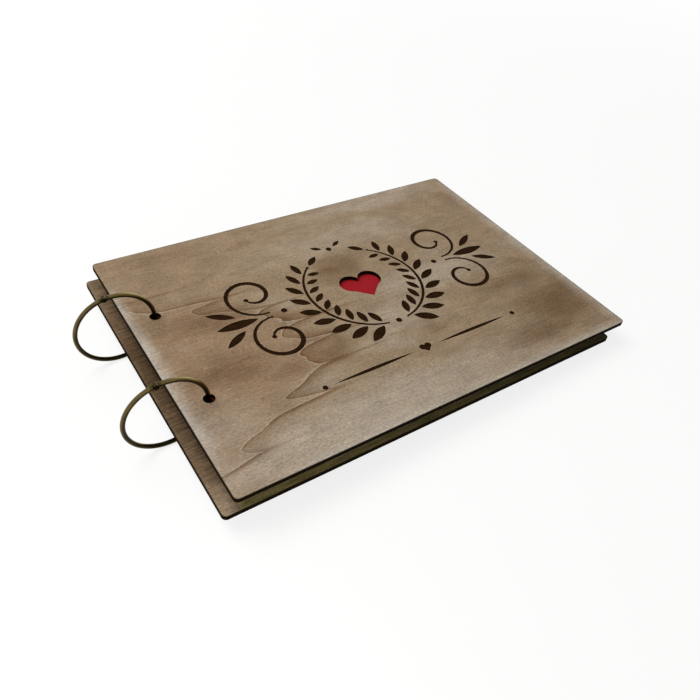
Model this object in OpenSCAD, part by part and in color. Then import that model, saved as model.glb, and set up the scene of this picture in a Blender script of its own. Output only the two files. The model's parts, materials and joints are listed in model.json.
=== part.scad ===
// Guest book: two plywood covers, a red flyleaf and loose card leaves on two hinged book rings.
// The book lies closed, spine to the left, resting on its rings and on the fore edge of the back cover.
// +X runs from the spine to the fore edge, +Y from the front long edge to the back one, +Z up.

/* [Covers] */
// Width of a cover, from its spine edge to its fore edge
cover_w = 308; // [300:1:340]
// Depth of a cover, along the spine
cover_d = 218; // [212:1:240]
// Thickness of the plywood
cover_t = 3; // [2:0.5:4]
// Radius of the covers' corners
corner_r = 3; // [2:0.5:10]
// Distance of the ring holes from the spine edge
cover_hole_edge = 18; // [14:0.5:20]
// Diameter of the ring holes in the covers
cover_hole_d = 7.3; // [7.2:0.1:8]
// How far the back cover sits behind the front cover
cover_shift = 2.3; // [0:0.1:2.3]

/* [Leaves] */
// Number of card leaves
leaf_count = 20; // [4:1:22]
// Width of a leaf
leaf_w = 292; // [280:1:294]
// Depth of a leaf
leaf_d = 208; // [200:1:210]
// Thickness of a leaf
leaf_t = 0.4; // [0.2:0.05:0.45]
// Air between one sheet and the next
leaf_air = 0.16; // [0.1:0.02:0.2]
// Distance of the ring holes from a leaf's spine edge
leaf_hole_edge = 7; // [6:0.5:12]
// Diameter of the ring holes in the leaves
leaf_hole_d = 6.5; // [6.4:0.1:7]

/* [Rings] */
// Distance between the two rings
ring_pitch = 80; // [70:1:110]
// Radius of a ring, to the middle of its wire
ring_r = 25; // [24:0.5:30]
// Diameter of the ring's wire
wire_d = 2.9; // [2.4:0.1:2.9]
// Height of the front cover's top face above the rings' centre
ring_drop = 0.8; // [0:0.1:1.5]
// Where the hinge sits on the ring, counted from the fore edge side up over the top
hinge_angle = 100; // [92:1:110]
// Radius of the hinge's flattened ears
ear_r = 1.7; // [1.5:0.1:1.7]
// Radius of the rivet through the ears
rivet_r = 0.55; // [0.4:0.05:0.6]

/* [Ornament] */
// Depth of the engraving
engrave_depth = 0.4; // [0.2:0.1:0.8]
// Width of the heart-shaped window
heart_w = 33; // [20:1:33]
// Radius of the wreath's stems
wreath_r = 43; // [41:1:48]
// Pairs of leaves on each half of the wreath
wreath_pairs = 9; // [6:1:9]
// Middle of the ornament, from the spine edge
ornament_x = 160; // [150:1:165]
// Middle of the ornament, from the front long edge
ornament_y = 118; // [110:1:125]

/* [Hidden] */
$fn = 96;

// Names of the leaves, counted up from the back cover
function leaf_name(i) = str("leaf_", i < 10 ? "0" : "", i);

// Heights in the book's own frame, whose origin is the rings' centre
wire_r = wire_d / 2;
flyleaf_index = leaf_count + 1;
sheet_step = leaf_t + leaf_air;
block_t = flyleaf_index * sheet_step + leaf_air;
front_z = ring_drop - cover_t;
back_z = front_z - block_t - cover_t;
function sheet_z(i) = front_z - block_t + leaf_air + (i - 1) * sheet_step;

// A hole sits midway between the furthest places where the wire meets its sheet
function wire_out(z) = sqrt(pow(ring_r + wire_r, 2) - z * z);
function wire_in(z) = sqrt(pow(ring_r - wire_r, 2) - z * z);
function hole_x(low, high) = (wire_out(min(abs(low), abs(high))) + wire_in(max(abs(low), abs(high)))) / 2;
front_hole_x = hole_x(front_z, front_z + cover_t);
back_hole_x = hole_x(back_z, back_z + cover_t);
function leaf_hole_x(i) = hole_x(sheet_z(i), sheet_z(i) + leaf_t);

// Each cover's own origin is the middle of its spine edge, at the bottom
front_at = [front_hole_x - cover_hole_edge, -cover_shift / 2, front_z];
back_at = [back_hole_x - cover_hole_edge, cover_shift / 2, back_z];
ornament_at = [ornament_x, ornament_y - cover_d / 2];

// The leaves lean from the back cover's middle towards the front cover's, and each strays a little
leaf_lean = 0.8;
leaf_stray = 0.3;
stray_step = 137.5;
function leaf_y(i) = leaf_lean * (1 - 2 * i / (leaf_count + 2)) + leaf_stray * sin(stray_step * i);

// The tilt that brings the rings and the back cover's fore edge down to one level
fore_x = back_hole_x - cover_hole_edge + cover_w;
ring_reach = ring_r + wire_r;
rest_tilt = asin(ring_reach / norm([fore_x, back_z])) - atan2(-back_z, fore_x);

// The origin is under the middle of the whole book
front_fore_x = front_hole_x - cover_hole_edge + cover_w;
book_right = front_fore_x * cos(rest_tilt) + ring_drop * sin(rest_tilt);
rest_at = [(ring_reach - book_right) / 2, 0, ring_reach];

// Ring details
ear_t = 1.4;
ear_play = 0.05;
hinge_clear = 0.3;
rivet_head_r = 1;
rivet_head_t = 0.3;
closure_gap = 0.15;
pin_r = 0.6;
pin_len = 1.4;
pin_root = 1;
socket_play = 0.12;

// Wreath details: angles along and off the stem, leaves as [length, width], lines as [end, middle] width
wreath_from = -80;
wreath_to = 52;
first_pair = 4;
outer_angle = 47;
inner_angle = 58;
outer_leaf = [18, 7];
inner_leaf = [13, 5.4];
leaf_taper = 0.3;
stem_w = [1.4, 2.2];
stem_gap = 2.6;
crown_leaf = [9, 3.4];
crown_leaf_at = [5, 6];
crown_dot_y = 4;
spray_angle = 30;
dot_r = 2.2;

// Scroll and divider details, from the wreath's middle
scroll_at = [78, 23];
scroll_r = [21, 6];
scroll_w = [1.4, 3.4];
scroll_from = -100;
scroll_turn = 430;
scroll_dot_x = 65;
spray_leaf = [20, 5.4];
spray_at = [97, 7];
bud = [30, 7.4];
bud_x = 84;
divider_y = -73;
divider_leaf = [62, 2.6];
divider_x = 10;
divider_dot_x = 78;
divider_dot_r = 1.8;
divider_heart_w = 9;

// How far a cutting shape runs past the face that it opens
past = 1;

wood = [0.55, 0.45, 0.35];
dark_wood = [0.42, 0.33, 0.25];
card = [0.86, 0.81, 0.66];
red_card = [0.62, 0.1, 0.13];
antique_brass = [0.42, 0.35, 0.2];

// Places the book's own frame on the surface that it lies on
module at_rest() {
    translate(rest_at) rotate([0, rest_tilt, 0]) children();
}

// A rectangle with round corners, its first corner at the origin
module rounded_rect(w, d, r) {
    translate([r, 0]) square([w - 2 * r, d]);
    translate([0, r]) square([w, d - 2 * r]);
    for (x = [r, w - r]) for (y = [r, d - r]) translate([x, y]) circle(r);
}

// Two ring holes, along Y and centred on the origin
module ring_holes(d) {
    for (side = [-1, 1]) translate([0, side * ring_pitch / 2]) circle(d = d);
}

// One cover's outline with its ring holes, its spine edge at x = 0 and its middle at y = 0
module cover_outline() {
    difference() {
        translate([0, -cover_d / 2]) rounded_rect(cover_w, cover_d, corner_r);
        translate([cover_hole_edge, 0]) ring_holes(cover_hole_d);
    }
}

// One punched sheet of card at its place in the stack
module sheet(i) {
    translate([leaf_hole_x(i) - leaf_hole_edge, leaf_y(i), sheet_z(i)]) linear_extrude(leaf_t) difference() {
        translate([0, -leaf_d / 2]) square([leaf_w, leaf_d]);
        translate([leaf_hole_edge, 0]) ring_holes(leaf_hole_d);
    }
}

// A pointed leaf of two arcs, its foot at the origin and its tip on +X; size is [length, width]
module pointed_leaf(size) {
    arc_r = (size[0] * size[0] + size[1] * size[1]) / (4 * size[1]);
    translate([size[0] / 2, 0]) intersection() {
        translate([0, arc_r - size[1] / 2]) circle(arc_r);
        translate([0, size[1] / 2 - arc_r]) circle(arc_r);
    }
}

// A heart: two round lobes over a pointed body, with the body's corners in units of the lobes' radius
module heart(w) {
    lobe_x = 0.9;
    tip = [0, -2.05];
    flank = [1.54, -0.62];
    notch = [0, 0.3];
    lobe_r = w / (2 + 2 * lobe_x);
    translate([0, lobe_r / 2]) {
        for (side = [-1, 1]) translate([side * lobe_x * lobe_r, 0]) circle(lobe_r);
        polygon(lobe_r * [tip, flank, notch, [-flank[0], flank[1]]]);
    }
}

// A curl whose radius changes evenly as it turns, with a line that swells in its middle
module curl(radius, width, from, turn) {
    steps = 32;
    function at(t) = radius[0] + (radius[1] - radius[0]) * t;
    function half(t) = (width[0] + (width[1] - width[0]) * sin(180 * t)) / 2;
    function arm(t, r) = r * [cos(from + turn * t), sin(from + turn * t)];
    polygon(concat(
        [for (i = [0 : steps]) arm(i / steps, at(i / steps) + half(i / steps))],
        [for (i = [steps : -1 : 0]) arm(i / steps, at(i / steps) - half(i / steps))]
    ));
    translate(arm(1, radius[1])) circle(width[1] / 2);
}

// The right half of the wreath: a curved stem, pairs of leaves that shrink towards the tip, a tip leaf
module wreath_half() {
    pairs_from = wreath_from + first_pair;
    curl([wreath_r, wreath_r], stem_w, wreath_from, wreath_to - wreath_from);
    for (i = [0 : wreath_pairs - 1]) {
        t = i / wreath_pairs;
        size = 1 - leaf_taper * t;
        rotate(pairs_from + (wreath_to - pairs_from) * t) translate([wreath_r, 0]) {
            rotate(90 - outer_angle) translate([stem_gap, 0]) pointed_leaf(size * outer_leaf);
            rotate(90 + inner_angle) translate([stem_gap, 0]) pointed_leaf(size * inner_leaf);
        }
    }
    rotate(wreath_to) translate([wreath_r, 0]) rotate(90) translate([stem_gap, 0]) {
        pointed_leaf((1 - leaf_taper) * outer_leaf);
    }
}

// The scrolls to the right of the wreath: a curl up, a curl down, and a bud between two leaves
module scrolls() {
    for (side = [0, 1]) mirror([0, side]) {
        translate(scroll_at) curl(scroll_r, scroll_w, scroll_from, scroll_turn);
        translate(spray_at) rotate(spray_angle) pointed_leaf(spray_leaf);
    }
    translate([bud_x, 0]) pointed_leaf(bud);
    translate([scroll_dot_x, 0]) circle(dot_r);
}

// The engraved drawing, centred on the wreath
module engraving() {
    for (side = [0, 1]) mirror([side, 0]) {
        wreath_half();
        scrolls();
        translate([divider_x, divider_y]) pointed_leaf(divider_leaf);
        translate([divider_dot_x, divider_y]) circle(divider_dot_r);
        translate([0, wreath_r]) translate(crown_leaf_at) rotate(spray_angle) pointed_leaf(crown_leaf);
    }
    for (y = [-wreath_r, wreath_r + crown_dot_y]) translate([0, y]) circle(dot_r);
    translate([0, divider_y]) heart(divider_heart_w);
}

module front_cover() {
    color(wood) at_rest() translate(front_at) difference() {
        linear_extrude(cover_t) difference() {
            cover_outline();
            translate(ornament_at) heart(heart_w);
        }
        translate([0, 0, cover_t - engrave_depth]) linear_extrude(engrave_depth + past) {
            translate(ornament_at) engraving();
        }
    }
}

module back_cover() {
    color(dark_wood) at_rest() translate(back_at) linear_extrude(cover_t) cover_outline();
}

module red_flyleaf() {
    color(red_card) at_rest() sheet(flyleaf_index);
}

module leaf(i) {
    color(card) at_rest() sheet(i);
}

// Puts a child on the ring's wire at an angle: X points outwards and Z along the wire
module on_wire(angle) {
    rotate([0, -angle, 0]) translate([ring_r, 0, 0]) children();
}

// A length of the ring's wire between two angles
module wire_arc(from, to) {
    rotate([90, 0, 0]) rotate(from) rotate_extrude(angle = to - from) translate([ring_r, 0]) circle(wire_r);
}

// A disc across the wire, from y = low to y = high
module across(r, low, high) {
    translate([0, high, 0]) rotate([90, 0, 0]) cylinder(r = r, h = high - low);
}

// The angle that a length of wire takes up
function wire_angle(length) = length / ring_r * 180 / PI;
closure_angle = hinge_angle - 180;
rivet_hole_r = rivet_r + ear_play;
ear_reach = ear_t + ear_play;

// The half that stays in the holes: a hinge ear on its front side and a socket in its other end
module fixed_half() {
    difference() {
        union() {
            difference() {
                wire_arc(closure_angle + wire_angle(closure_gap), hinge_angle);
                on_wire(hinge_angle) across(ear_r + hinge_clear, -ear_play, wire_d);
            }
            on_wire(hinge_angle) across(ear_r, -ear_reach, -ear_play);
        }
        on_wire(hinge_angle) across(rivet_hole_r, -wire_d, wire_d);
        on_wire(closure_angle) cylinder(r = pin_r + socket_play, h = pin_len + closure_gap);
    }
}

// The half that swings open: a hinge ear on its back side and a pin on its other end
module swing_half() {
    difference() {
        union() {
            difference() {
                wire_arc(hinge_angle, hinge_angle + 180);
                on_wire(hinge_angle) across(ear_r + hinge_clear, -wire_d, ear_play);
            }
            on_wire(hinge_angle) across(ear_r, ear_play, ear_reach);
            on_wire(closure_angle) translate([0, 0, -pin_root]) cylinder(r = pin_r, h = pin_root + pin_len);
        }
        on_wire(hinge_angle) across(rivet_hole_r, -wire_d, wire_d);
    }
}

// The hinge rivet, with a flat head at each end
module hinge_rivet() {
    head_mid = ear_reach + ear_play / 2 + rivet_head_t / 2;
    on_wire(hinge_angle) {
        across(rivet_r, -head_mid, head_mid);
        for (side = [-1, 1]) translate([0, side * head_mid, 0]) {
            across(rivet_head_r, -rivet_head_t / 2, rivet_head_t / 2);
        }
    }
}

// One piece of a ring at its place on the spine; side is -1 at the front and 1 at the back
module ring_piece(side) {
    color(antique_brass) at_rest() translate([0, side * ring_pitch / 2, 0]) children();
}

module ring_front_fixed_half() { ring_piece(-1) fixed_half(); }
module ring_front_swing_half() { ring_piece(-1) swing_half(); }
module ring_front_rivet() { ring_piece(-1) hinge_rivet(); }
module ring_back_fixed_half() { ring_piece(1) fixed_half(); }
module ring_back_swing_half() { ring_piece(1) swing_half(); }
module ring_back_rivet() { ring_piece(1) hinge_rivet(); }

front_cover();
back_cover();
red_flyleaf();
for (i = [1 : leaf_count]) leaf(i);
ring_front_fixed_half();
ring_front_swing_half();
ring_front_rivet();
ring_back_fixed_half();
ring_back_swing_half();
ring_back_rivet();
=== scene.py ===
"""Looks of the guest book: stained plywood covers, card leaves and antique brass rings.

Lengths are in metres, except inside the finishes, which count in millimetres from a corner of the piece.
"""
import json
import math
from collections import namedtuple

import bpy
import numpy as np
from mathutils import Matrix, Vector

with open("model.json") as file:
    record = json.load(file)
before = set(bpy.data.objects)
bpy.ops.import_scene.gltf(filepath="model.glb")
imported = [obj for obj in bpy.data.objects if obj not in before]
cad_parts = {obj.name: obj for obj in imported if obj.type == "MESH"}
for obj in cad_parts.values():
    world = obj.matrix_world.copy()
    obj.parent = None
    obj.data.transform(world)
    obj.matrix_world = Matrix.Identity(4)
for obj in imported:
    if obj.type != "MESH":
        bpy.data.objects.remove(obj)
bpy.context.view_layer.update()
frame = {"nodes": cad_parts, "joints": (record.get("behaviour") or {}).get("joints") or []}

MM = 1000.0


def joint(name):
    """What the frame says of a joint."""
    return next(entry for entry in frame["joints"] if entry["name"] == name)


def piece_span(node):
    """The least and the greatest places of a piece's points along the book's right, back and upright."""
    mesh = frame["nodes"][node].data
    points = np.empty(len(mesh.vertices) * 3, np.float32)
    mesh.vertices.foreach_get("co", points)
    places = points.reshape(-1, 3).astype(float) @ np.array((BOOK_RIGHT, BOOK_BACK, BOOK_UP)).T
    return places.min(axis=0), places.max(axis=0)


# The book's own directions: it lies tilted, and its rings swivel about its upright
BOOK_UP = Vector(joint("ring_front_swivel")["axis"]).normalized()
BOOK_BACK = Vector((0.0, 1.0, 0.0))
BOOK_RIGHT = BOOK_BACK.cross(BOOK_UP)
BOOK_TILT = math.atan2(BOOK_UP.x, BOOK_UP.z)

# The rings turn about one axis, and each has its hinge on top; radius and pitch are in millimetres
RING_AXIS = Vector(joint("front_cover_turn")["pos_m"])
FRONT_HINGE = Vector(joint("ring_front_open")["pos_m"])
BACK_HINGE = Vector(joint("ring_back_open")["pos_m"])
RING_R = math.hypot(FRONT_HINGE.x - RING_AXIS.x, FRONT_HINGE.z - RING_AXIS.z) * MM
RING_PITCH = (BACK_HINGE.y - FRONT_HINGE.y) * MM

# Outline of either cover, in millimetres
cover_least, cover_most = piece_span("front_cover")
COVER_W, COVER_D = ((cover_most - cover_least)[:2] * MM).tolist()
CORNER_R = 3.0

# A face is flat where its normal goes at least this far along the upright; a cut lies this far down
FLAT = 0.5
CUT_TOP = -0.1

# Camera, found from the corners of the covers in the photograph
CAMERA_AT = Vector((-0.213289, -0.283812, 0.320162))
CAMERA_TOWARDS = Vector((-0.024130, -0.044850, 0.023952))
CAMERA_ROLL = math.radians(6.89)
CAMERA_LENS = 34.33
CAMERA_SENSOR = 36.0

# Light: the lamps' colour, the sky's strength, and the floor's glow near the book and far from it
LAMP_COLOUR = (1.0, 0.98, 0.95)
SKY_STRENGTH = 0.26
FLOOR_HALF = 4.0
FLOOR_ALBEDO = 0.20
FLOOR_GLOW = 0.81
FAR_GLOW = 0.96
GLOW_FROM = 0.3
GLOW_TO = 1.8
WHITE = (1.0, 1.0, 1.0, 1.0)

# Feature sizes along the grain, across it and through the sheet, then how much finer noise is added
Noise = namedtuple("Noise", "size detail roughness")

# Noises of the wood
CLOUDS = Noise((64.0, 40.0, 6.0), 2.0, 0.5)
BLOT_SHAKE = Noise((36.0, 20.0, 9.0), 3.0, 0.6)
RING_WANDER = Noise((60.0, 13.0, 9.0), 1.0, 0.35)
POOL_GAPS = Noise((40.0, 14.0, 9.0), 2.0, 0.5)
RIM_SHAKE = Noise((22.0, 22.0, 6.0), 3.0, 0.6)
RIM_GAPS = Noise((70.0, 70.0, 6.0), 1.0, 0.5)
MOTTLE = Noise((22.0, 13.0, 9.0), 4.0, 0.72)
FLECKS = Noise((10.0, 4.5, 9.0), 1.0, 0.5)
FIBRE = Noise((20.0, 1.2, 9.0), 3.0, 0.7)
SPECKLE = Noise((2.3, 0.5, 1.5), 2.0, 0.7)
STREAK = Noise((18.0, 0.8, 30.0), 3.0, 0.7)
PORES = Noise((5.0, 0.8, 5.0), 1.0, 0.5)
SOOT = Noise((5.0, 1.6, 0.7), 3.0, 0.65)

# Noises of the card
CARD_FIBRES = Noise((1.6, 0.9, 0.2), 3.0, 0.65)
CARD_CLOUDS = Noise((80.0, 60.0, 0.7), 2.0, 0.5)
CARD_TOAST_AND_SHADE = Noise((14.0, 14.0, 0.5), 3.0, 0.6)

# Noises of the brass
PATINA = Noise((7.0, 2.5, 7.0), 3.0, 0.6)
SPECKS = Noise((0.7, 0.7, 0.7), 2.0, 0.6)

# How much each texture of the wood lightens and darkens it
MOTTLE_SWING = 0.36
FLECK_SWING = 0.08
FIBRE_SWING = 0.38
SPECKLE_SWING = 0.85
FRONT_STREAKS = 0.05
BACK_STREAKS = 0.50

# Heights of the bumps, in metres
WOOD_RELIEF = 0.00006
CARD_RELIEF = 0.00003
BRASS_RELIEF = 0.00002


def tone(red, green, blue):
    """A colour as it looks on a screen, 0 to 255, turned into the linear colour that a shader takes."""
    levels = np.array((red, green, blue)) / 255.0
    linear = np.where(levels <= 0.04045, levels / 12.92, ((levels + 0.055) / 1.055) ** 2.4)
    return (*linear.tolist(), 1.0)


# Burnt wood: floors of the engraving and cut edges, each with much soot and with little
SOOTY_FLOOR = tone(28, 16, 7)
BROWN_FLOOR = tone(52, 33, 17)
SOOTY_EDGE = tone(14, 9, 4)
BROWN_EDGE = tone(28, 19, 9)

# Brass: three depths of patina, patina and painted shade inside, the hinge, wear and painted light outside,
# painted highlight on top
PATINA_DEEP = tone(40, 33, 18)
PATINA_MIDDLE = tone(60, 50, 28)
PATINA_THIN = tone(82, 69, 40)
BRASS_PATINA_AND_SHADE = tone(38, 31, 18)
BRASS_HINGE = tone(44, 37, 21)
BRASS_WORN_AND_LIT = tone(150, 131, 82)
BRASS_HIGHLIGHT = tone(206, 184, 122)

# Tones of a cover, with pooled for the stain past a growth ring and rim for the pale rims along its edges
WoodTones = namedtuple("WoodTones", "dark pooled warm middle pale rim")
FRONT_TONES = WoodTones(
    dark=tone(100, 71, 45),
    pooled=tone(114, 83, 55),
    warm=tone(141, 105, 78),
    middle=tone(157, 136, 111),
    pale=tone(177, 163, 145),
    rim=tone(196, 188, 176),
)
BACK_TONES = WoodTones(
    dark=tone(88, 69, 50),
    pooled=tone(86, 67, 48),
    warm=tone(108, 87, 66),
    middle=tone(121, 101, 79),
    pale=tone(155, 136, 113),
    rim=tone(161, 143, 120),
)

# A growth ring: its reach along the grain, its middle and half width across it, and its fingers' layout
GrowthRing = namedtuple("GrowthRing", "reach middle half finger tip pitch")
FRONT_GROWTH = GrowthRing(reach=105.0, middle=90.0, half=76.0, finger=15.0, tip=105.0, pitch=21.0)
BACK_GROWTH = GrowthRing(reach=120.0, middle=150.0, half=80.0, finger=14.0, tip=160.0, pitch=19.0)

# A blot of stain: its middle, its half sizes along and across the grain, and its strength
Blot = namedtuple("Blot", "x y along across strength")
FRONT_DARK = (
    Blot(40.0, 204.0, 46.0, 12.0, 0.30),
    Blot(30.0, 182.0, 70.0, 30.0, 0.14),
    Blot(48.0, 130.0, 40.0, 13.0, 0.45),
    Blot(36.0, 84.0, 40.0, 16.0, 0.50),
    Blot(106.0, 74.0, 24.0, 14.0, 0.50),
    Blot(151.0, 154.0, 12.0, 7.0, 0.32),
    Blot(266.0, 72.0, 50.0, 16.0, 0.45),
    Blot(278.0, 38.0, 44.0, 30.0, 0.66),
    Blot(246.0, 22.0, 52.0, 12.0, 0.60),
)
FRONT_PALE = (
    Blot(96.0, 14.0, 170.0, 26.0, 0.95),
    Blot(10.0, 44.0, 50.0, 26.0, 0.75),
    Blot(215.0, 106.0, 70.0, 18.0, 0.80),
    Blot(162.0, 80.0, 40.0, 22.0, 0.60),
    Blot(225.0, 208.0, 90.0, 13.0, 0.80),
    Blot(165.0, 174.0, 90.0, 20.0, 0.45),
    Blot(75.0, 50.0, 32.0, 14.0, 0.45),
)
BACK_DARK = (Blot(4.0, 108.0, 60.0, 66.0, 0.80),)
BACK_PALE = (
    Blot(2.0, 0.0, 26.0, 26.0, 1.00),
    Blot(2.0, 214.0, 30.0, 26.0, 0.50),
)

# Pale rims along the spine, fore, front and back edges, with where each begins and ends along its edge
Rim = namedtuple("Rim", "width strength begin end")
FRONT_RIMS = (
    Rim(11.0, 1.00, 24.0, 180.0),
    Rim(12.0, 0.80, 0.0, 200.0),
    Rim(9.0, 0.80, 30.0, 320.0),
    Rim(4.0, 0.35, 180.0, 290.0),
)
BACK_RIMS = (
    Rim(3.0, 0.20, 0.0, COVER_D),
    Rim(6.0, 0.30, 0.0, COVER_D),
    Rim(3.0, 0.30, 0.0, COVER_W),
    Rim(3.0, 0.20, 0.0, COVER_W),
)

# The back cover's front ledge, with painted shade under the front cover: start, depth, shade tones at spine
# and fore edge
Ledge = namedtuple("Ledge", "start depth near far")
BACK_LEDGE = Ledge(start=10.6, depth=9.0, near=tone(154, 143, 97), far=tone(88, 85, 57))

# Tones of a card: two for its faces, two for its cut edges, toasted and darker as painted shade, and one
# for the scorched rims of its holes
CardTones = namedtuple("CardTones", "face shade edge edge_dark hole_rim")
RED_TONES = CardTones(
    face=tone(168, 32, 42),
    shade=tone(154, 28, 37),
    edge=tone(92, 24, 22),
    edge_dark=tone(60, 16, 14),
    hole_rim=tone(140, 26, 30),
)
IVORY_TONES = CardTones(
    face=tone(232, 222, 192),
    shade=tone(226, 214, 182),
    edge=tone(176, 160, 124),
    edge_dark=tone(132, 117, 86),
    hole_rim=tone(52, 38, 24),
)


class Finish:
    """A new material, with short calls that each add a node or two and give back an output."""

    def __init__(self, name):
        self.material = bpy.data.materials.new(name)
        self.material.use_nodes = True
        self.tree = self.material.node_tree
        self.tree.nodes.clear()
        self.shader = self.tree.nodes.new("ShaderNodeBsdfPrincipled")
        output = self.tree.nodes.new("ShaderNodeOutputMaterial")
        self.tree.links.new(self.shader.outputs["BSDF"], output.inputs["Surface"])

    def feed(self, socket, value):
        """Links a socket to an output, or sets a constant on it."""
        if isinstance(value, bpy.types.NodeSocket):
            self.tree.links.new(value, socket)
        else:
            socket.default_value = value

    def add(self, kind, inputs, **settings):
        """A new node with its inputs fed and its settings made."""
        node = self.tree.nodes.new(kind)
        for key, value in settings.items():
            setattr(node, key, value)
        for key, value in inputs.items():
            self.feed(node.inputs[key], value)
        return node

    def surface(self, **inputs):
        """Sets the shader's own sockets; an underscore in a name stands for a space."""
        for key, value in inputs.items():
            self.feed(self.shader.inputs[key.replace("_", " ")], value)

    def math(self, operation, *values):
        return self.add("ShaderNodeMath", dict(enumerate(values)), operation=operation).outputs[0]

    def times(self, first, *factors):
        """The product of all values."""
        product = first
        for factor in factors:
            product = self.math("MULTIPLY", product, factor)
        return product

    def plus(self, first, second):
        return self.math("ADD", first, second)

    def minus(self, first, second):
        return self.math("SUBTRACT", first, second)

    def over(self, first, second):
        return self.math("DIVIDE", first, second)

    def larger(self, first, second):
        return self.math("MAXIMUM", first, second)

    def smaller(self, first, second):
        return self.math("MINIMUM", first, second)

    def size(self, value):
        """A value without its sign."""
        return self.math("ABSOLUTE", value)

    def root(self, value):
        return self.math("SQRT", value)

    def linear(self, value, factor, offset):
        """value x factor + offset"""
        return self.math("MULTIPLY_ADD", value, factor, offset)

    def vector(self, operation, *values):
        node = self.add("ShaderNodeVectorMath", dict(enumerate(values)), operation=operation)
        return node.outputs["Vector"]

    def length(self, vector):
        return self.add("ShaderNodeVectorMath", {0: vector}, operation="LENGTH").outputs["Value"]

    def along(self, vector, direction):
        """How far a vector goes along a direction: their dot product."""
        inputs = {0: vector, 1: direction}
        return self.add("ShaderNodeVectorMath", inputs, operation="DOT_PRODUCT").outputs["Value"]

    def split(self, vector):
        return self.add("ShaderNodeSeparateXYZ", {0: vector}).outputs[:3]

    def fade(self, value, low, high):
        """A smooth step from 0 at low to 1 at high."""
        inputs = {"Value": value, "From Min": low, "From Max": high}
        return self.add("ShaderNodeMapRange", inputs, interpolation_type="SMOOTHSTEP").outputs["Result"]

    def scaled(self, value, low, high):
        """A value that runs from 0 to 1, stretched to run from low to high."""
        inputs = {"Value": value, "To Min": low, "To Max": high}
        return self.add("ShaderNodeMapRange", inputs).outputs["Result"]

    def mix(self, share, first, second):
        """The first colour where share is 0 and the second where it is 1."""
        node = self.add("ShaderNodeMix", {0: share, 6: first, 7: second}, data_type="RGBA")
        return node.outputs[2]

    def level(self, colour, factor):
        """A colour with its brightness multiplied by factor."""
        return self.add("ShaderNodeHueSaturation", {"Color": colour, "Value": factor}).outputs["Color"]

    def sway(self, colour, texture, swing):
        """A colour multiplied by 1 - swing where a texture is 0 and by 1 + swing where it is 1."""
        return self.level(colour, self.scaled(texture, 1.0 - swing, 1.0 + swing))

    def ramp(self, value, stops):
        """Colours at given values, blended in between."""
        node = self.add("ShaderNodeValToRGB", {"Fac": value})
        elements = node.color_ramp.elements
        while len(elements) < len(stops):
            elements.new(1.0)
        for element, (position, colour) in zip(elements, stops):
            element.position = position
            element.color = colour
        return node.outputs["Color"]

    def noise_node(self, place, noise):
        shrunk = self.vector("MULTIPLY", place, tuple(1.0 / length for length in noise.size))
        inputs = {"Vector": shrunk, "Scale": 1.0, "Detail": noise.detail, "Roughness": noise.roughness}
        return self.add("ShaderNodeTexNoise", inputs)

    def noise(self, place, noise):
        """Noise from 0 to 1, about 0.5 in the mean."""
        return self.noise_node(place, noise).outputs["Fac"]

    def shaken(self, place, noise, reach):
        """A place moved by (noise - 0.5) x reach in x, y and z."""
        centred = self.vector("SUBTRACT", self.noise_node(place, noise).outputs["Color"], (0.5, 0.5, 0.5))
        return self.vector("MULTIPLY_ADD", centred, reach, place)

    def coords(self, kind):
        return self.add("ShaderNodeTexCoord", {}).outputs[kind]

    def place(self, node):
        """Millimetres to the book's right, back and upright from a piece's front spine corner on top."""
        least, most = piece_span(node)
        corner = Vector((least[0], least[1], most[2])) * MM
        inputs = {
            "Vector": self.coords("Object"),
            "Location": -corner,
            "Rotation": (0.0, -BOOK_TILT, 0.0),
            "Scale": (MM, MM, MM),
        }
        return self.add("ShaderNodeMapping", inputs).outputs["Vector"]

    def spoke(self, middle):
        """Millimetres, in the plane of a ring, from a line through a middle and square to that plane."""
        offset = self.vector("SUBTRACT", self.coords("Object"), middle)
        return self.vector("MULTIPLY", offset, (MM, 0.0, MM))

    def facing(self, direction):
        """1 on faces that look along a direction, 0 on those square to it, -1 on the far side."""
        return self.along(self.coords("Normal"), direction)

    def bump(self, height, depth, strength):
        inputs = {"Height": height, "Distance": depth, "Strength": strength}
        return self.add("ShaderNodeBump", inputs).outputs["Normal"]


def stain_blots(wood, place, blots):
    """Soft blots of stain: the largest of strength x fade(distance from the middle, over the half sizes).

    The place is first shaken by noise, so that the blots have ragged outlines drawn out along the grain.
    """
    core = 0.1
    end = 1.25
    shaken = wood.shaken(place, BLOT_SHAKE, (40.0, 22.0, 0.0))
    total = 0.0
    for blot in blots:
        scale = (1.0 / blot.along, 1.0 / blot.across, 0.0)
        offset = (-blot.x / blot.along, -blot.y / blot.across, 0.0)
        away = wood.length(wood.vector("MULTIPLY_ADD", shaken, scale, offset))
        total = wood.larger(wood.times(wood.fade(away, end, core), blot.strength), total)
    return total


def growth_ring(wood, x, y, place, ring):
    """How far a point lies past a growth ring that is cut in fingers: along the grain, and straight.

    The ring's edge is reach (1 - ((y - middle) / half)^2), plus fingers, plus noise. The fingers are
    finger (1 - 2 sqrt |sin(pi (y - tip) / pitch)|). The straight distance is the one along the grain over
    sqrt(1 + slope^2).
    """
    wander = 50.0
    step = 0.5

    def edge_at(across):
        turn = wood.linear(across, math.pi / ring.pitch, -math.pi * ring.tip / ring.pitch)
        wave = wood.root(wood.size(wood.math("SINE", turn)))
        fingers = wood.linear(wave, -2.0 * ring.finger, ring.reach + ring.finger)
        aside = wood.linear(across, 1.0 / ring.half, -ring.middle / ring.half)
        return wood.linear(wood.math("POWER", wood.size(aside), 2.0), -ring.reach, fingers)

    edge = edge_at(y)
    slope = wood.over(wood.minus(edge_at(wood.plus(y, step)), edge), step)
    stray = wood.times(wood.minus(wood.noise(place, RING_WANDER), 0.5), wander)
    past = wood.minus(x, wood.plus(edge, stray))
    return past, wood.over(past, wood.root(wood.linear(slope, slope, 1.0)))


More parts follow.
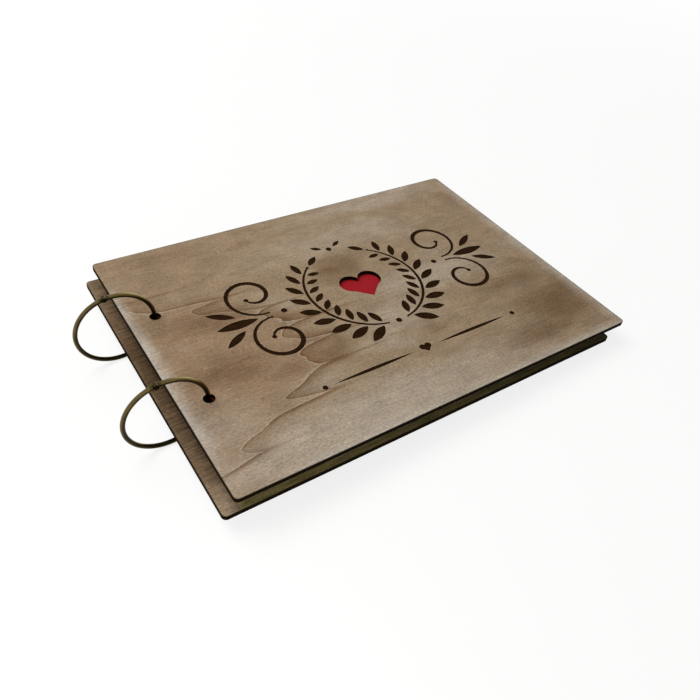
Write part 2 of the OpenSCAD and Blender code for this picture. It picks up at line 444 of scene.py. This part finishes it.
def veneer_figure(wood, x, y, place, ring, colour, tones):
    """The growth ring on a colour: warmer before it, a pale line at its edge, and pooled stain past it."""
    warm_share = 0.25
    line_share = 0.65
    line_w = 1.3
    line_core = 0.3
    long_pool = 26.0
    long_share = 0.7
    short_pool = 5.0
    past, straight = growth_ring(wood, x, y, place, ring)
    before = wood.math("LESS_THAN", past, 0.0)
    beyond = wood.minus(1.0, before)
    line = wood.times(before, wood.fade(wood.size(straight), line_w, line_core))
    washed = wood.times(wood.fade(past, long_pool, 0.0), long_share)
    pool = wood.larger(washed, wood.fade(straight, short_pool, 0.0))
    uneven = wood.fade(wood.noise(place, POOL_GAPS), low=0.30, high=0.60)
    pool = wood.times(pool, beyond, wood.scaled(uneven, low=0.45, high=0.95))
    colour = wood.mix(wood.times(before, warm_share), colour, tones.warm)
    colour = wood.mix(wood.times(line, line_share), colour, tones.pale)
    return wood.mix(pool, colour, tones.pooled)


def pale_rim_share(wood, x, y, place, rims):
    """The share of the pale rim along a cover's spine, fore, front and back edges.

    It is the largest of strength x fade((distance from the edge + noise) / width), times a smooth window
    along the edge, and is thinner in patches.
    """
    shake = 10.0
    window = 20.0
    overlap = 0.3
    distances = (x, wood.minus(COVER_W, x), y, wood.minus(COVER_D, y))
    stray = wood.linear(wood.noise(place, RIM_SHAKE), shake, -shake / 2)
    total = 0.0
    for distance, along, rim in zip(distances, (y, y, x, x), rims):
        share = wood.fade(wood.plus(distance, stray), rim.width, -overlap * rim.width)
        begun = wood.fade(along, rim.begin - window, rim.begin + window)
        not_ended = wood.fade(along, rim.end + window, rim.end - window)
        total = wood.larger(wood.times(share, begun, not_ended, rim.strength), total)
    patches = wood.fade(wood.noise(place, RIM_GAPS), low=0.32, high=0.58)
    return wood.times(total, wood.scaled(patches, low=0.6, high=1.0))


def rim_inset(wood, x, y):
    """How far a point lies inside a cover's outline, a rectangle with rounded corners.

    With p and q the depths that the point lacks of a corner's radius, it is
    radius - length(max(p, 0), max(q, 0)) - min(max(p, q), 0).
    """
    to_side = wood.smaller(x, wood.minus(COVER_W, x))
    to_end = wood.smaller(y, wood.minus(COVER_D, y))
    p = wood.minus(CORNER_R, to_side)
    q = wood.minus(CORNER_R, to_end)
    lacking = {0: wood.larger(p, 0.0), 1: wood.larger(q, 0.0)}
    outside = wood.length(wood.add("ShaderNodeCombineXYZ", lacking).outputs[0])
    inside = wood.smaller(wood.larger(p, q), 0.0)
    return wood.minus(wood.minus(CORNER_R, outside), inside)


def shaded_ledge(wood, x, y, z, colour, ledge):
    """Painted shade: a colour that darkens from the spine to a ledge's start, and the ledge painted in
    shade tones.
    """
    spine_level = 1.04
    start_level = 0.76
    start_blur = 0.5
    depth_blur = 2.0
    # Painted shade, darker towards the front cover's edge
    colour = wood.level(colour, wood.scaled(wood.fade(x, 0.0, ledge.start), spine_level, start_level))
    past_start = wood.fade(x, ledge.start - start_blur, ledge.start + start_blur)
    in_depth = wood.fade(y, ledge.depth, ledge.depth - depth_blur)
    on_top = wood.math("GREATER_THAN", z, CUT_TOP)
    # Painted shade on the ledge, lighter at the spine and darker towards the fore edge
    painted_ledge_shade = wood.mix(wood.over(x, COVER_W), ledge.near, ledge.far)
    return wood.mix(wood.times(past_start, in_depth, on_top), colour, painted_ledge_shade)


def stained_ply(name, node, tones, ring, dark_blots, pale_blots, streaks, rims, ledge=None):
    """Stained plywood: blots of stain, a growth ring, fibres, pale rims, burnt cuts and painted shade on a
    ledge.
    """
    pore_share = 0.35
    scorch_w = 0.6
    scorch_core = 0.2
    scorch_share = 0.9
    wood = Finish(name)
    place = wood.place(node)
    x, y, z = wood.split(place)

    # Broad tones: clouds, blots, the growth ring, rims
    stops = ((0.15, tones.dark), (0.42, tones.middle), (0.58, tones.middle), (0.82, tones.pale))
    colour = wood.ramp(wood.noise(place, CLOUDS), stops)
    colour = wood.mix(stain_blots(wood, place, pale_blots), colour, tones.pale)
    colour = veneer_figure(wood, x, y, place, ring, colour, tones)
    colour = wood.mix(stain_blots(wood, place, dark_blots), colour, tones.dark)
    # Paler along the edges
    colour = wood.mix(pale_rim_share(wood, x, y, place, rims), colour, tones.rim)
    # Painted shade of the front cover on the back cover's ledge
    if ledge:
        colour = shaded_ledge(wood, x, y, z, colour, ledge)

    # Mottle, flecks, fibres, streaks and pores along the grain
    fibre = wood.noise(place, FIBRE)
    speckle = wood.noise(place, SPECKLE)
    streak = wood.fade(wood.noise(place, STREAK), low=0.25, high=0.75)
    colour = wood.sway(colour, wood.noise(place, MOTTLE), MOTTLE_SWING)
    colour = wood.sway(colour, wood.noise(place, FLECKS), FLECK_SWING)
    colour = wood.sway(colour, fibre, FIBRE_SWING)
    colour = wood.sway(colour, speckle, SPECKLE_SWING)
    colour = wood.sway(colour, streak, streaks)
    pores = wood.fade(wood.noise(place, PORES), low=0.64, high=0.76)
    colour = wood.mix(wood.times(pores, pore_share), colour, tones.dark)

    # Burnt cuts: brown engraved floors and black edges, everywhere below the face but not underneath
    up = wood.facing(BOOK_UP)
    cut = wood.times(wood.math("LESS_THAN", z, CUT_TOP), wood.math("GREATER_THAN", up, -FLAT))
    floor = wood.math("GREATER_THAN", up, FLAT)
    soot = wood.noise(place, SOOT)
    brown = wood.ramp(soot, ((0.3, SOOTY_FLOOR), (0.7, BROWN_FLOOR)))
    black = wood.ramp(soot, ((0.3, SOOTY_EDGE), (0.7, BROWN_EDGE)))
    scorch = wood.fade(rim_inset(wood, x, y), scorch_w, scorch_core)
    colour = wood.mix(wood.times(scorch, scorch_share), colour, black)
    colour = wood.mix(cut, colour, wood.mix(floor, black, brown))

    relief = wood.plus(wood.times(streak, 0.5), wood.plus(fibre, wood.times(speckle, 0.6)))
    wood.surface(
        Base_Color=colour,
        Roughness=wood.linear(cut, 0.2, wood.scaled(fibre, low=0.60, high=0.76)),
        Normal=wood.bump(relief, WOOD_RELIEF, strength=0.6),
        Specular_IOR_Level=0.02,
    )
    return wood.material


def wire_distance(paper):
    """Millimetres from the middle of the nearer ring's wire, which is a circle about the rings' axis."""
    from_circle = paper.minus(paper.length(paper.spoke(RING_AXIS)), RING_R)
    beside = paper.times(paper.split(paper.coords("Object"))[1], MM)
    from_plane = paper.minus(paper.size(beside), RING_PITCH / 2)
    return paper.root(paper.linear(from_plane, from_plane, paper.times(from_circle, from_circle)))


def card(name, node, tones):
    """Card: faint fibres and clouds on its faces, cut edges toasted and darker as painted shade, and
    scorched rims round its holes.
    """
    fibre_swing = 0.05
    scorch_r = 5.2
    scorch_core = 4.2
    scorch_share = 0.9
    paper = Finish(name)
    place = paper.place(node)
    fibres = paper.noise(place, CARD_FIBRES)
    clouds = paper.fade(paper.noise(place, CARD_CLOUDS), low=0.3, high=0.7)
    edge_toast_and_shade = paper.fade(paper.noise(place, CARD_TOAST_AND_SHADE), low=0.3, high=0.7)
    colour = paper.mix(clouds, tones.face, tones.shade)
    colour = paper.sway(colour, fibres, fibre_swing)
    side = paper.math("LESS_THAN", paper.size(paper.facing(BOOK_UP)), FLAT)
    # Cut edges: toasted, and darker as painted shade
    colour = paper.mix(side, colour, paper.mix(edge_toast_and_shade, tones.edge, tones.edge_dark))
    scorch = paper.fade(wire_distance(paper), scorch_r, scorch_core)
    colour = paper.mix(paper.times(scorch, scorch_share), colour, tones.hole_rim)
    paper.surface(
        Base_Color=colour,
        Roughness=paper.scaled(fibres, low=0.72, high=0.88),
        Normal=paper.bump(fibres, CARD_RELIEF, strength=0.5),
        Specular_IOR_Level=0.2,
    )
    return paper.material


def antique_brass(name, node, wear_and_light):
    """Antique brass: patina in patches, deepest at its hinge, with patina and painted shade inside the
    ring.

    It is worn and lighter as painted light outside, where the normal points along the spoke from the rings'
    axis, and has a painted highlight over the cover, where the normal points up and to the right.
    wear_and_light is how much of the wear, the painted light and the painted highlight shows.
    """
    patina_and_shade_share = 0.80
    worn_and_lit_share = 0.32 * wear_and_light
    highlight_share = 0.65 * wear_and_light
    hinge_share = 0.7
    hinge_r = 4.2
    hinge_core = 2.4
    speck_swing = 0.20
    metal = Finish(name)
    place = metal.place(node)
    patina = metal.noise(place, PATINA)
    specks = metal.noise(place, SPECKS)
    outward = metal.facing(metal.vector("NORMALIZE", metal.spoke(RING_AXIS)))
    highlight_facing = metal.facing((BOOK_UP * 0.8 + BOOK_RIGHT * 0.6).normalized())
    from_hinge = metal.length(metal.spoke(FRONT_HINGE))

    # Patina and painted shade inside the ring
    inside = metal.times(metal.fade(outward, low=0.55, high=-0.4), patina_and_shade_share)
    # Wear and painted light on the outside
    outside = metal.times(metal.fade(outward, low=0.1, high=0.9), worn_and_lit_share)
    # Painted highlight over the cover, where the normal points up and to the right
    top = metal.times(metal.fade(highlight_facing, low=0.84, high=1.0), highlight_share)
    hinge = metal.times(metal.fade(from_hinge, hinge_r, hinge_core), hinge_share)
    colour = metal.ramp(patina, ((0.32, PATINA_DEEP), (0.50, PATINA_MIDDLE), (0.70, PATINA_THIN)))
    colour = metal.mix(inside, colour, BRASS_PATINA_AND_SHADE)
    colour = metal.mix(outside, colour, BRASS_WORN_AND_LIT)
    colour = metal.mix(top, colour, BRASS_HIGHLIGHT)
    colour = metal.mix(hinge, colour, BRASS_HINGE)
    colour = metal.sway(colour, specks, speck_swing)
    matt = metal.scaled(patina, low=0.36, high=0.20)
    metal.surface(
        Base_Color=colour,
        Metallic=1.0,
        Roughness=metal.plus(matt, metal.scaled(specks, low=-0.04, high=0.04)),
        Normal=metal.bump(specks, BRASS_RELIEF, strength=0.4),
    )
    return metal.material


def dress(node, material):
    """Gives a piece its material."""
    for slot in frame["nodes"][node].material_slots:
        slot.material = material


def dress_book():
    """Dresses the covers, the flyleaf, the leaves and the rings."""
    dress("front_cover", stained_ply(
        "stained_ply", "front_cover", FRONT_TONES, FRONT_GROWTH, FRONT_DARK, FRONT_PALE, FRONT_STREAKS,
        FRONT_RIMS))
    dress("back_cover", stained_ply(
        "dark_stained_ply", "back_cover", BACK_TONES, BACK_GROWTH, BACK_DARK, BACK_PALE, BACK_STREAKS,
        BACK_RIMS, BACK_LEDGE))
    dress("red_flyleaf", card("red_card", "red_flyleaf", RED_TONES))
    ivory = card("ivory_card", "leaf_01", IVORY_TONES)
    brass = antique_brass("antique_brass", "ring_front_fixed_half", wear_and_light=1.0)
    # The rivets get little of the wear, painted light and painted highlight, so they look darker
    rivet_brass = antique_brass("dark_antique_brass", "ring_front_rivet", wear_and_light=0.2)
    for node in frame["nodes"]:
        if node.startswith("leaf_"):
            dress(node, ivory)
        if node.startswith("ring_"):
            dress(node, rivet_brass if node.endswith("_rivet") else brass)


def camera_turn(at, towards, roll):
    """Columns right, up and back: right is level and square to the view, then both roll about the view."""
    view = (towards - at).normalized()
    level = view.cross(Vector((0.0, 0.0, 1.0))).normalized()
    upright = level.cross(view)
    right = level * math.cos(roll) + upright * math.sin(roll)
    up = upright * math.cos(roll) - level * math.sin(roll)
    return Matrix((right, up, -view)).transposed()


def add_camera():
    """The photograph's own viewpoint."""
    data = bpy.data.cameras.new("camera")
    data.lens = CAMERA_LENS
    data.sensor_width = CAMERA_SENSOR
    camera = bpy.data.objects.new("camera", data)
    turn = camera_turn(CAMERA_AT, CAMERA_TOWARDS, CAMERA_ROLL).to_4x4()
    camera.matrix_world = Matrix.Translation(CAMERA_AT) @ turn
    bpy.context.scene.collection.objects.link(camera)
    bpy.context.scene.camera = camera


def add_lamp(name, at, size, watts):
    """A square area lamp that looks at the middle of the book, unseen by the camera and in the metal."""
    data = bpy.data.lights.new(name, "AREA")
    data.size = size
    data.energy = watts
    data.color = LAMP_COLOUR
    lamp = bpy.data.objects.new(name, data)
    lamp.visible_camera = False
    lamp.visible_glossy = False
    lamp.location = at
    lamp.rotation_euler = (-Vector(at)).to_track_quat("-Z", "Y").to_euler()
    bpy.context.scene.collection.objects.link(lamp)


def seen_rays(tree):
    """1 for rays from the camera and for those that mirrors and glass send on, 0 for the rest."""
    rays = tree.nodes.new("ShaderNodeLightPath")
    total = rays.outputs["Is Camera Ray"]
    for name in ("Is Glossy Ray", "Is Transmission Ray"):
        most = tree.nodes.new("ShaderNodeMath")
        most.operation = "MAXIMUM"
        tree.links.new(total, most.inputs[0])
        tree.links.new(rays.outputs[name], most.inputs[1])
        total = most.outputs[0]
    return total


def add_world():
    """A plain grey-white sky that looks white where it is seen."""
    world = bpy.data.worlds.new("studio")
    bpy.context.scene.world = world
    world.use_nodes = True
    tree = world.node_tree
    sky = tree.nodes["Background"]
    sky.inputs["Color"].default_value = WHITE
    level = tree.nodes.new("ShaderNodeMapRange")
    tree.links.new(seen_rays(tree), level.inputs["Value"])
    level.inputs["To Min"].default_value = SKY_STRENGTH
    level.inputs["To Max"].default_value = 1.0
    tree.links.new(level.outputs["Result"], sky.inputs["Strength"])


def add_floor():
    """A flat pale floor that glows where it is seen, so that it looks white but keeps the book's shadow.

    The glow grows with the distance from the book, as the lamps' light fades.
    """
    corners = np.array([(-1, -1, 0), (1, -1, 0), (1, 1, 0), (-1, 1, 0)], float) * FLOOR_HALF
    mesh = bpy.data.meshes.new("floor")
    mesh.from_pydata(corners.tolist(), [], [(0, 1, 2, 3)])
    floor = bpy.data.objects.new("floor", mesh)
    bpy.context.scene.collection.objects.link(floor)
    pale = Finish("pale_floor")
    away = pale.fade(pale.length(pale.coords("Object")), GLOW_FROM, GLOW_TO)
    glow = pale.scaled(away, FLOOR_GLOW, FAR_GLOW)
    pale.surface(
        Base_Color=(FLOOR_ALBEDO, FLOOR_ALBEDO, FLOOR_ALBEDO, 1.0),
        Roughness=0.9,
        Specular_IOR_Level=0.1,
        Emission_Color=WHITE,
        Emission_Strength=pale.times(seen_rays(pale.tree), glow),
    )
    mesh.materials.append(pale.material)


dress_book()
add_camera()
add_lamp("key", at=(-0.42, 0.50, 1.10), size=0.85, watts=12.4)
add_lamp("low_fill", at=(-0.33, -0.30, 0.08), size=0.12, watts=0.45)
add_world()
add_floor()
bpy.context.scene.view_settings.view_transform = "Standard"
